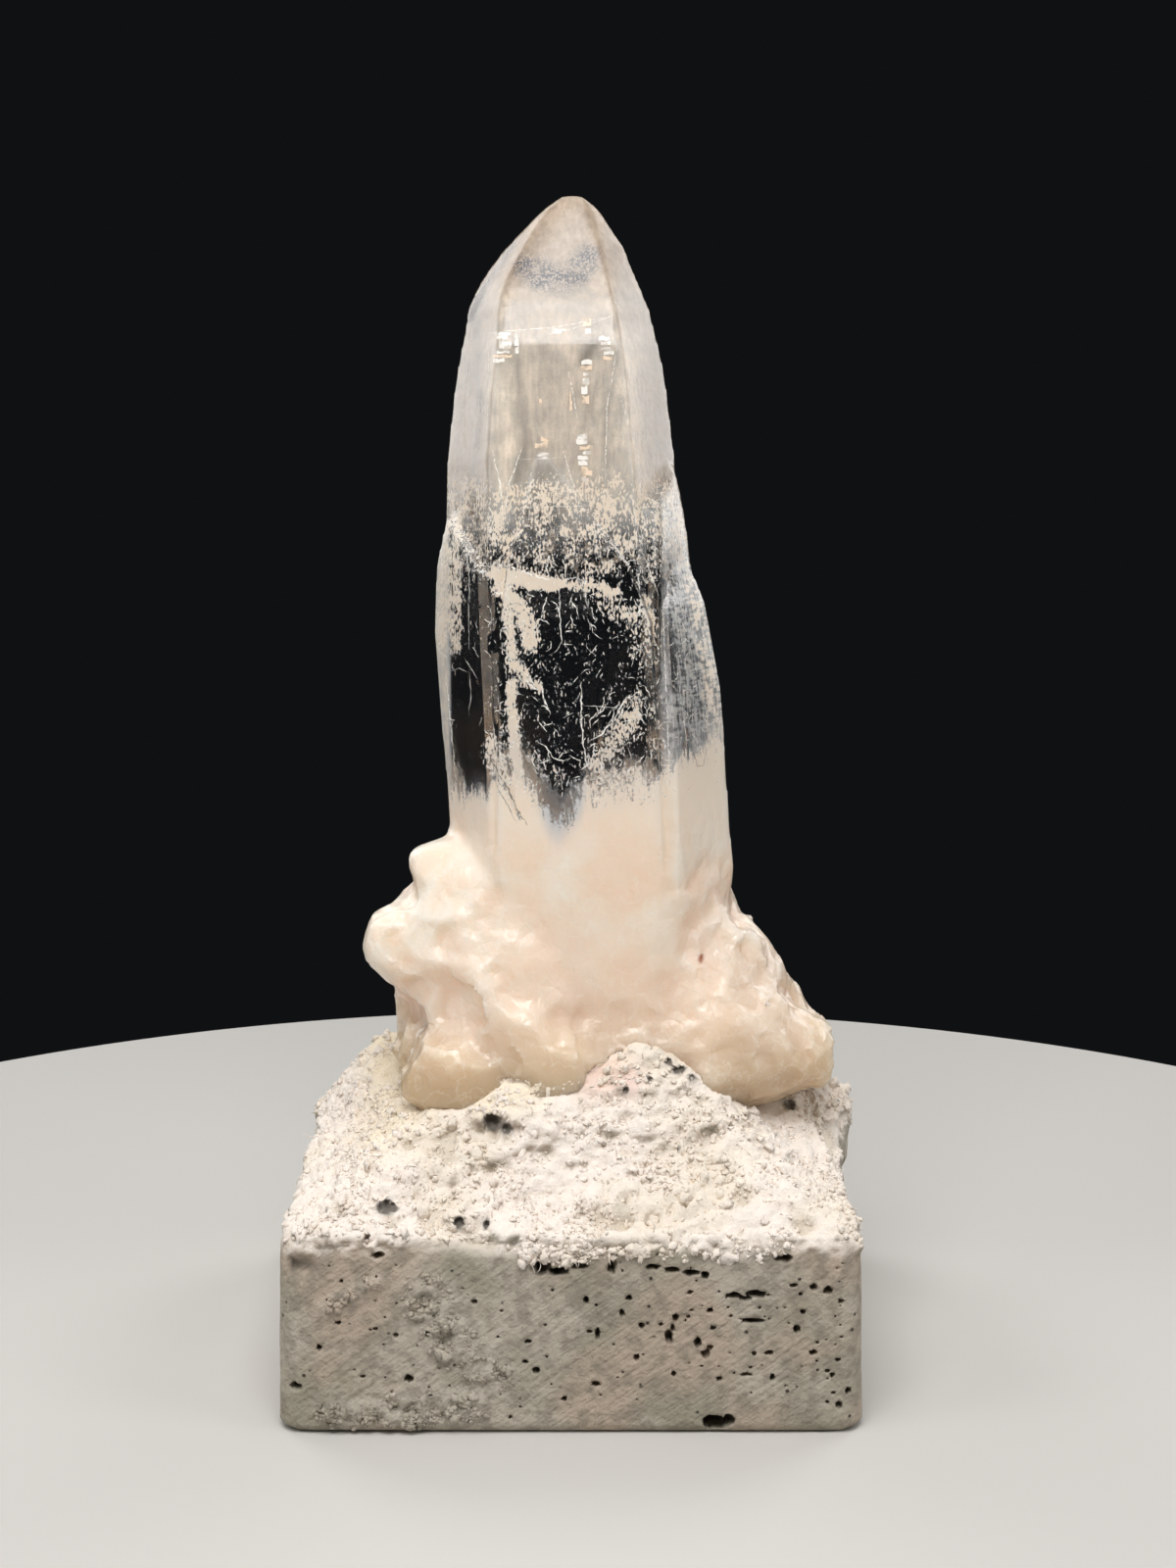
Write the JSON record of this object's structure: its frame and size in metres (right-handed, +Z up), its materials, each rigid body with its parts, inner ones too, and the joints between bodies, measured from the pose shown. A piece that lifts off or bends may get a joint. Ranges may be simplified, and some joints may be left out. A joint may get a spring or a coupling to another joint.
{
  "type": "quartz specimen",
  "caption": "Upright cluster of parallel-grown quartz points, clear above and milky at its lumpy root, bedded in a cast square plaster base that rests on a flat underside.",
  "frame": {"origin": "middle of the plaster base's flat underside", "axes": "+Z up towards the tip of the main point, +Y from the front face of the base to its back, +X to the right seen from the front"},
  "size_m": [0.0944, 0.0903, 0.1916],
  "materials": {
    "quartz": "gloss",
    "plaster": "matte"
  },
  "bodies": {
    "root": {"quartz_cluster": "quartz", "plaster_base": "plaster"}
  },
  "joints": []
}
